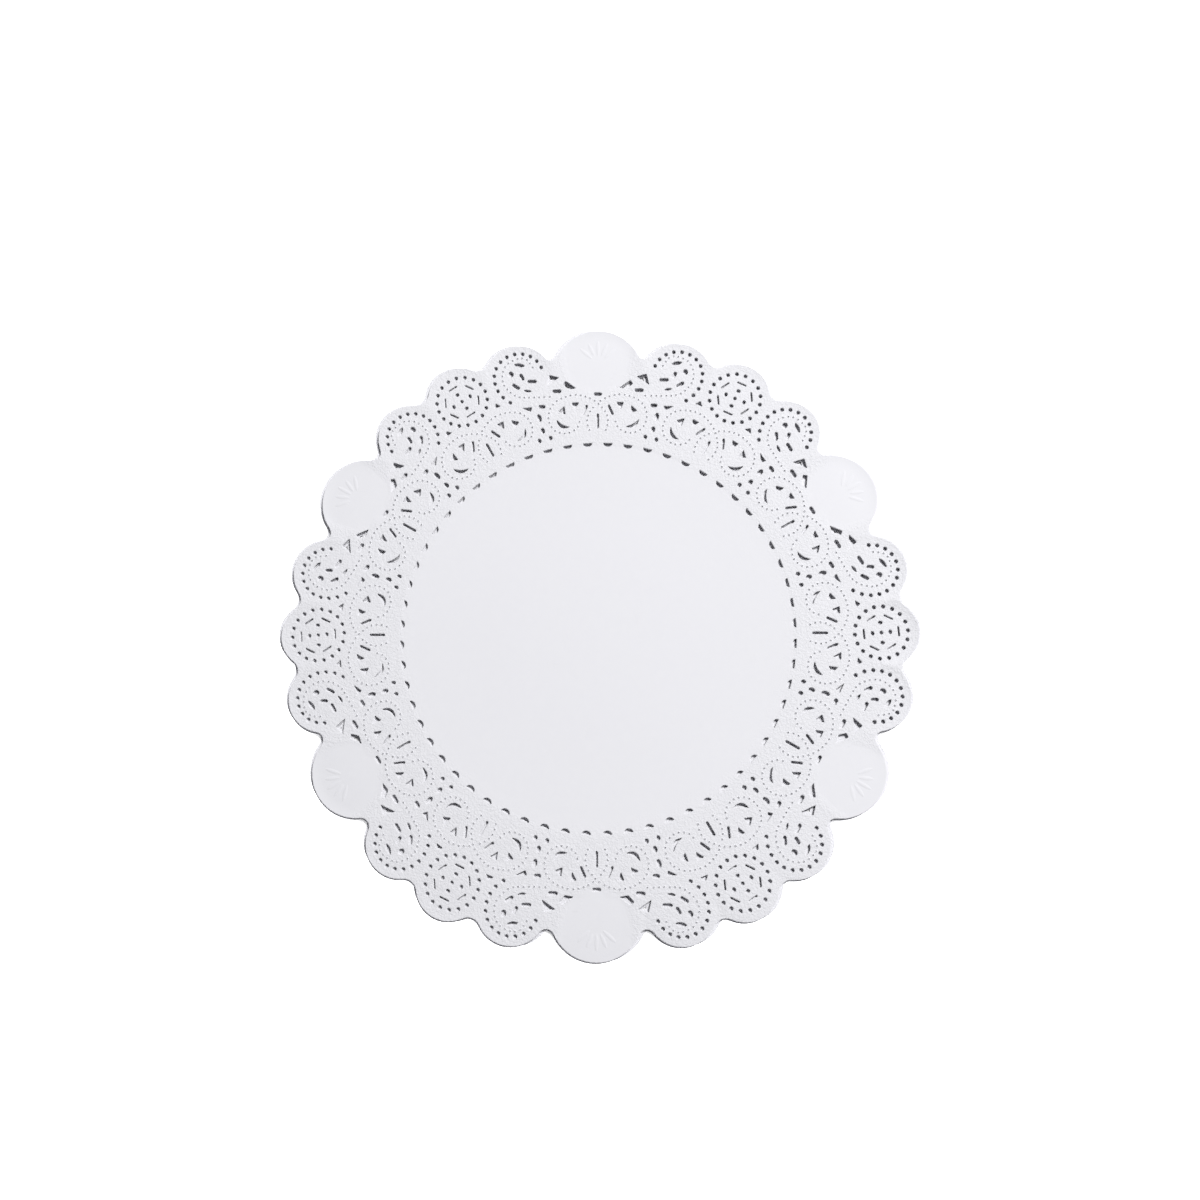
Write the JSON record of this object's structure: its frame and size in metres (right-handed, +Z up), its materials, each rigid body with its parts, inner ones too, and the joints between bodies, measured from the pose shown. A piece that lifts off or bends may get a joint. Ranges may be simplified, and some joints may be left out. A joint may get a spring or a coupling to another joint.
{
  "type": "paper lace doily pile",
  "caption": "Pile of round white paper lace doilies with a scalloped edge and die-cut openwork, laid under cakes, plates or cups as a decorative mat",
  "frame": {"origin": "Centre of the flat underside of the pile, on the axis of the sheets' lace pattern.", "axes": "+Z up, out of the top sheet. +X runs from the centre along the axis of one rosette, +Y along the axis of a plain lobe. The X and Y axes lie in the plane of the sheets."},
  "size_m": [0.3082, 0.307, 0.0029],
  "materials": {
    "white_paper": "matt embossed paper"
  },
  "bodies": {
    "bottom_doily": {"bottom_doily": "white_paper"},
    "doily_02": {"doily_02": "white_paper"},
    "doily_03": {"doily_03": "white_paper"},
    "doily_04": {"doily_04": "white_paper"},
    "doily_05": {"doily_05": "white_paper"},
    "doily_06": {"doily_06": "white_paper"},
    "doily_07": {"doily_07": "white_paper"},
    "doily_08": {"doily_08": "white_paper"},
    "doily_09": {"doily_09": "white_paper"},
    "doily_10": {"doily_10": "white_paper"},
    "doily_11": {"doily_11": "white_paper"},
    "top_doily": {"top_doily": "white_paper"}
  },
  "joints": [
    {"name": "doily_02_lift", "type": "slide", "parent": "bottom_doily", "child": "doily_02", "axis": [0, 0, 1], "range_m": [0, 0.02]},
    {"name": "doily_03_lift", "type": "slide", "parent": "doily_02", "child": "doily_03", "axis": [0, 0, 1], "range_m": [0, 0.02]},
    {"name": "doily_04_lift", "type": "slide", "parent": "doily_03", "child": "doily_04", "axis": [0, 0, 1], "range_m": [0, 0.02]},
    {"name": "doily_05_lift", "type": "slide", "parent": "doily_04", "child": "doily_05", "axis": [0, 0, 1], "range_m": [0, 0.02]},
    {"name": "doily_06_lift", "type": "slide", "parent": "doily_05", "child": "doily_06", "axis": [0, 0, 1], "range_m": [0, 0.02]},
    {"name": "doily_07_lift", "type": "slide", "parent": "doily_06", "child": "doily_07", "axis": [0, 0, 1], "range_m": [0, 0.02]},
    {"name": "doily_08_lift", "type": "slide", "parent": "doily_07", "child": "doily_08", "axis": [0, 0, 1], "range_m": [0, 0.02]},
    {"name": "doily_09_lift", "type": "slide", "parent": "doily_08", "child": "doily_09", "axis": [0, 0, 1], "range_m": [0, 0.02]},
    {"name": "doily_10_lift", "type": "slide", "parent": "doily_09", "child": "doily_10", "axis": [0, 0, 1], "range_m": [0, 0.02]},
    {"name": "doily_11_lift", "type": "slide", "parent": "doily_10", "child": "doily_11", "axis": [0, 0, 1], "range_m": [0, 0.02]},
    {"name": "top_doily_lift", "type": "slide", "parent": "doily_11", "child": "top_doily", "axis": [0, 0, 1], "range_m": [0, 0.02]}
  ]
}
